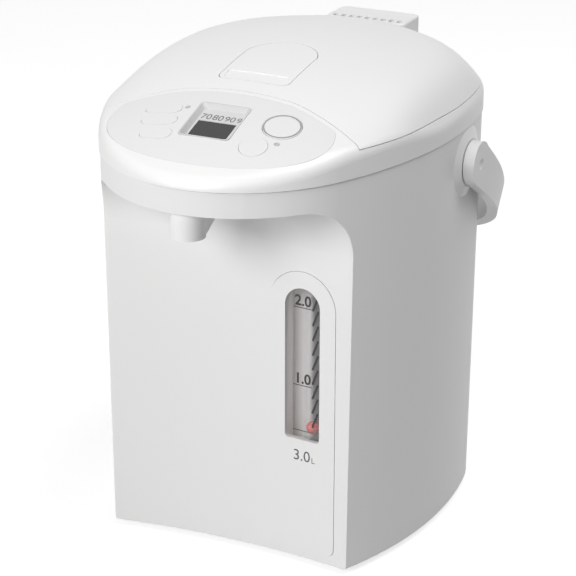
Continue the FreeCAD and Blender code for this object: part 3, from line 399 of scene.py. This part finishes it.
class POT_OT_finishes(bpy.types.Operator):
    """Give each moulding and inner part its finish"""
    bl_idname = "pot.finishes"
    bl_label = "Finishes"

    def execute(self, context):
        finish = context.scene.pot_finish
        top_roughness = finish.shell_roughness - 0.04
        # Cream of the gauge tray and scale, paler than the shell white: partly their own cream tone, partly
        # painted light that makes up for the shade inside the deep tray.
        gauge_cream_and_painted_light = (0.92, 0.90, 0.885)
        groups = (
            (moulded_plastic("shell white", finish.shell_colour, finish.shell_roughness, grain=0.00003),
             ("body_shell", "gauge_panel", "handle")),
            (moulded_plastic("top white", finish.top_colour, top_roughness, grain=0.00002),
             ("shoulder_ring", "lid_cover", "steam_block", "latch_plate", "spout_housing")),
            (moulded_plastic("sheet white", finish.sheet_colour, 0.33, grain=0.00001),
             ("control_sheet", "dispense_button", "lock_button", "menu_button_1", "menu_button_2",
              "menu_button_3")),
            # The display recess frame gets a grey of 0.60 instead of white: painted shade for the shaded
            # inside of the recess.
            (moulded_plastic("recess painted shade", (0.60, 0.60, 0.60), 0.42, grain=0.00001),
             ("lcd_frame",)),
            (moulded_plastic("inner grey", (0.33, 0.33, 0.33), 0.5, grain=0.00005),
             ("pump_housing", "impeller", "valve_housing", "base_plate", "latch_tray", "latch_hook",
              "board_posts", "handle_pivot_left", "handle_pivot_right", "lid_floor")),
            (moulded_plastic("dark part", (0.03, 0.03, 0.032), 0.45, grain=0.00004),
             ("motor_case", "inlet_socket", "key_switches", "power_parts", "lcd_module")),
            (moulded_plastic("display black", (0.016, 0.017, 0.018), 0.16, grain=0.000002),
             ("lcd_glass",)),
            # Gauge tray and scale: cream with painted light that lifts the shade of the deep tray.
            (moulded_plastic("gauge tray", gauge_cream_and_painted_light, 0.5, grain=0.00003),
             ("gauge_tray",)),
            (moulded_plastic("gauge back", gauge_cream_and_painted_light, 0.5, grain=0.00002),
             ("gauge_scale",)),
            (moulded_plastic("float red", finish.float_colour, 0.25, grain=0.000005),
             ("float_ball",)),
            (drawn_steel("tank steel", (0.62, 0.62, 0.61), 0.3, stretch=(1.0, 1.0, 0.05)),
             ("tank", "inner_lid")),
            (drawn_steel("pin steel", (0.66, 0.66, 0.67), 0.24, stretch=(0.05, 1.0, 1.0)),
             ("tip_ball", "hinge_pin", "motor_rotor", "base_screws", "latch_pin", "socket_pins",
              "thermistor")),
            (drawn_steel("shield metal", (0.7, 0.7, 0.71), 0.35, stretch=(1.0, 1.0, 0.1)),
             ("heat_shield", "heater_plate")),
            (soft_rubber("silicone", (0.68, 0.66, 0.63)),
             ("lid_gasket", "tank_gasket", "discharge_hose", "riser_pipe", "spout_pipe")),
            (soft_rubber("foot rubber", (0.05, 0.05, 0.05)),
             ("feet",)),
            (circuit_board("board", (0.02, 0.10, 0.04)),
             ("control_board", "power_board")),
            (clear_plastic("gauge window", (0.80, 0.78, 0.77), cover=0.08),
             ("gauge_lens",)),
            (clear_plastic("gauge pipe", (0.88, 0.88, 0.89), cover=0.06),
             ("gauge_tube",)),
            (clear_plastic("lamp lens", (0.55, 0.55, 0.54), cover=0.9),
             ("indicator_lenses",)),
        )
        bare = set(frame["nodes"])
        for material, nodes in groups:
            for node in nodes:
                give_finish(frame["nodes"][node], material)
            bare.difference_update(nodes)
        if bare:
            raise RuntimeError("no finish for %s" % ", ".join(sorted(bare)))
        return {"FINISHED"}


class POT_OT_display_numbers(bpy.types.Operator):
    """Print the temperatures above the display"""
    bl_idname = "pot.display_numbers"
    bl_label = "Display numbers"

    def execute(self, context):
        marks = context.scene.pot_marks
        ink = printed_ink("display ink", (0.11, 0.11, 0.115))
        for index, number in enumerate(TEMPERATURES):
            x = TEMPERATURE_FIRST_X + index * TEMPERATURE_PITCH
            place, turn = on_deck(x, SHELF_ALONG, SHELF_HEIGHT)
            text = lettering("display_number_%d" % index, number, marks.number_height, place, turn)
            settle(text, ink, NODE_BODY["lcd_frame"])
        return {"FINISHED"}


class POT_OT_gauge_marks(bpy.types.Operator):
    """Print the litre numbers, lines and hatching on the gauge window, and the capacity below it"""
    bl_idname = "pot.gauge_marks"
    bl_label = "Gauge marks"

    def stroke(self, name, low_x, high_x, z, height):
        place, turn = on_face((low_x + high_x) / 2, z, WINDOW_FRONT)
        bpy.ops.mesh.primitive_cube_add(size=1.0, location=place, rotation=(0, 0, turn))
        made = bpy.context.object
        made.name = name
        made.scale = (high_x - low_x, INK_THICKNESS, height)
        return made

    def number(self, name, words, height, x, z, front):
        place, turn = on_face(x, z, front)
        return lettering(name, words, height, place, (math.radians(90), 0, turn))

    def trim(self, place, direction):
        """Cut off what lies past a plane."""
        bpy.ops.mesh.select_all(action="SELECT")
        bpy.ops.mesh.bisect(plane_co=place, plane_no=direction, use_fill=True, clear_outer=True)

    def hatching(self):
        strokes = []
        for index in range(HATCH_COUNT):
            z = HATCH_FIRST_Z + index * HATCH_PITCH
            made = self.stroke("hatch_%02d" % index, *HATCH_STROKE, z, HATCH_STROKE_HEIGHT)
            made.rotation_euler[1] = HATCH_SLANT
            strokes.append(made)
        choose(*strokes)
        bpy.ops.object.join()
        hatch = bpy.context.object
        hatch.name = "gauge_hatching"
        bpy.ops.object.transform_apply(location=True, rotation=True, scale=True)
        bpy.ops.object.mode_set(mode="EDIT")
        self.trim((HATCH_RIGHT_X, 0, 0), (1, 0, 0))
        self.trim((HATCH_LEFT_X, 0, 0), (-1, 0, 0))
        self.trim((0, 0, HATCH_TOP_Z), (0, 0, 1))
        bpy.ops.object.mode_set(mode="OBJECT")
        if not hatch.data.polygons:
            raise RuntimeError("the trims leave nothing of the hatching")
        return hatch

    def execute(self, context):
        marks = context.scene.pot_marks
        ink = printed_ink("gauge ink", context.scene.pot_finish.ink_colour)
        pale_ink = printed_ink("panel ink", (0.09, 0.09, 0.095))
        body = NODE_BODY["gauge_lens"]
        for name, words, z in LITRE_MARKS:
            text = self.number(name, words, marks.litre_height, LITRE_X, z + LITRE_RISE, WINDOW_FRONT)
            text.data.offset = LITRE_WEIGHT
            settle(text, ink, body)
            line = self.stroke(name + "_line", LINE_LEFT_X, LINE_RIGHT_X, z, marks.line_width)
            settle(line, ink, body)
        line = self.stroke("refill_line", LINE_LEFT_X, LINE_RIGHT_X, REFILL_Z, marks.line_width)
        settle(line, ink, body)
        settle(self.hatching(), ink, body)
        for name, words, share, x in CAPACITY_MARKS:
            text = self.number(name, words, marks.litre_height * share, x, CAPACITY_Z, PANEL_FRONT)
            settle(text, pale_ink, NODE_BODY["gauge_panel"])
        return {"FINISHED"}


class POT_OT_key_ring(bpy.types.Operator):
    """Print the ring round the large key"""
    bl_idname = "pot.key_ring"
    bl_label = "Key ring"

    def execute(self, context):
        place, turn = on_deck(LARGE_KEY_X, 0.0, 0.0, LARGE_KEY_Y)
        fall = DOME_CROSS_R - math.sqrt(DOME_CROSS_R ** 2 - LARGE_KEY_X ** 2)
        place.z -= fall - RING_LIFT
        lean = (turn[0], math.asin(LARGE_KEY_X / DOME_CROSS_R), 0)
        bpy.ops.mesh.primitive_torus_add(
            location=place, rotation=lean, major_radius=RING_R,
            minor_radius=context.scene.pot_marks.ring_width / 2, major_segments=96, minor_segments=8)
        ring = bpy.context.object
        ring.name = "dispense_ring"
        ring.scale = (1, 1, RING_FLATNESS)
        settle(ring, printed_ink("ring ink", (0.30, 0.30, 0.305)), "dispense_button")
        bpy.ops.object.shade_smooth_by_angle(angle=math.radians(40))
        return {"FINISHED"}


class POT_OT_studio(bpy.types.Operator):
    """Set up the camera, lights, floor and backdrop"""
    bl_idname = "pot.studio"
    bl_label = "Studio"

    def camera(self, scene):
        studio = scene.pot_studio
        level = math.cos(studio.elevation)
        back = Vector((math.sin(studio.azimuth) * level, -math.cos(studio.azimuth) * level,
                       math.sin(studio.elevation)))
        bpy.ops.object.camera_add(location=CAMERA_TARGET + back * studio.distance)
        camera = bpy.context.object
        camera.name = "camera"
        camera.data.lens = studio.lens
        camera.data.sensor_width = SENSOR_WIDTH
        camera.data.shift_x = CAMERA_SHIFT_PIXELS / IMAGE_PIXELS
        camera.data.clip_end = 20.0
        camera.rotation_euler = back.to_track_quat("Z", "Y").to_euler()
        camera.rotation_euler.rotate_axis("Z", CAMERA_ROLL)
        scene.camera = camera

    def lamp(self, name, place, target, size, power):
        bpy.ops.object.light_add(type="AREA", location=place)
        light = bpy.context.object
        light.name = name
        light.data.shape = "RECTANGLE"
        light.data.size = size[0]
        light.data.size_y = size[1]
        light.data.energy = power
        light.rotation_euler = (Vector(target) - Vector(place)).to_track_quat("-Z", "Y").to_euler()

    def floor(self):
        """A pale floor that keeps the shadow and looks white without lighting the pot."""
        bpy.ops.mesh.primitive_plane_add(size=FLOOR_SIZE, location=(0, 0, FLOOR_Z))
        floor = bpy.context.object
        floor.name = "floor"
        paint = Paint("floor white")
        paint.set(Base_Color=FLOOR_GREY, Roughness=0.9)
        plain = paint.shader.outputs[0]
        glow = paint.node("ShaderNodeEmission", {"Color": WHITE, "Strength": FLOOR_GLOW})
        lit = paint.node("ShaderNodeAddShader", {0: plain, 1: glow.outputs[0]})
        both = paint.node("ShaderNodeMixShader", {0: paint.seen_directly(), 1: plain, 2: lit.outputs[0]})
        paint.put(paint.tree.nodes["Material Output"].inputs["Surface"], both.outputs[0])
        floor.data.materials.append(paint.material)

    def sky(self, scene):
        """A white backdrop that gives the pot only a little light."""
        world = bpy.data.worlds.new("studio")
        world.use_nodes = True
        sky = Nodes(world.node_tree)
        sky.tree.nodes.clear()
        dim = sky.node("ShaderNodeBackground", {"Color": WHITE, "Strength": SKY_LIGHT})
        bright = sky.node("ShaderNodeBackground", {"Color": WHITE, "Strength": 1.0})
        both = sky.node("ShaderNodeMixShader",
                        {0: sky.seen_directly(), 1: dim.outputs[0], 2: bright.outputs[0]})
        sky.node("ShaderNodeOutputWorld", {"Surface": both.outputs[0]})
        scene.world = world

    def execute(self, context):
        scene = context.scene
        scene.view_settings.view_transform = "Standard"
        self.camera(scene)
        for lamp in LAMPS:
            self.lamp(*lamp)
        self.floor()
        self.sky(scene)
        return {"FINISHED"}


class POT_PT_panel(bpy.types.Panel):
    """Settings and steps of the thermo pot"""
    bl_label = "Thermo Pot"
    bl_idname = "POT_PT_panel"
    bl_space_type = "VIEW_3D"
    bl_region_type = "UI"
    bl_category = "Thermo Pot"

    def draw(self, context):
        for group in ("pot_finish", "pot_marks", "pot_studio"):
            settings = getattr(context.scene, group)
            box = self.layout.box()
            for key in settings.bl_rna.properties.keys():
                if key not in ("rna_type", "name"):
                    box.prop(settings, key)
        for operator in OPERATORS:
            self.layout.operator(operator.bl_idname)


OPERATORS = (POT_OT_finishes, POT_OT_display_numbers, POT_OT_gauge_marks, POT_OT_key_ring, POT_OT_studio)
CLASSES = (PotFinish, PotMarks, PotStudio) + OPERATORS + (POT_PT_panel,)


def register():
    for item in CLASSES:
        bpy.utils.register_class(item)
    bpy.types.Scene.pot_finish = bpy.props.PointerProperty(type=PotFinish)
    bpy.types.Scene.pot_marks = bpy.props.PointerProperty(type=PotMarks)
    bpy.types.Scene.pot_studio = bpy.props.PointerProperty(type=PotStudio)


def unregister():
    del bpy.types.Scene.pot_finish
    del bpy.types.Scene.pot_marks
    del bpy.types.Scene.pot_studio
    for item in reversed(CLASSES):
        bpy.utils.unregister_class(item)


def main():
    register()
    bpy.ops.pot.finishes()
    bpy.ops.pot.display_numbers()
    bpy.ops.pot.gauge_marks()
    bpy.ops.pot.key_ring()
    bpy.ops.pot.studio()


if __name__ == "__main__":
    main()
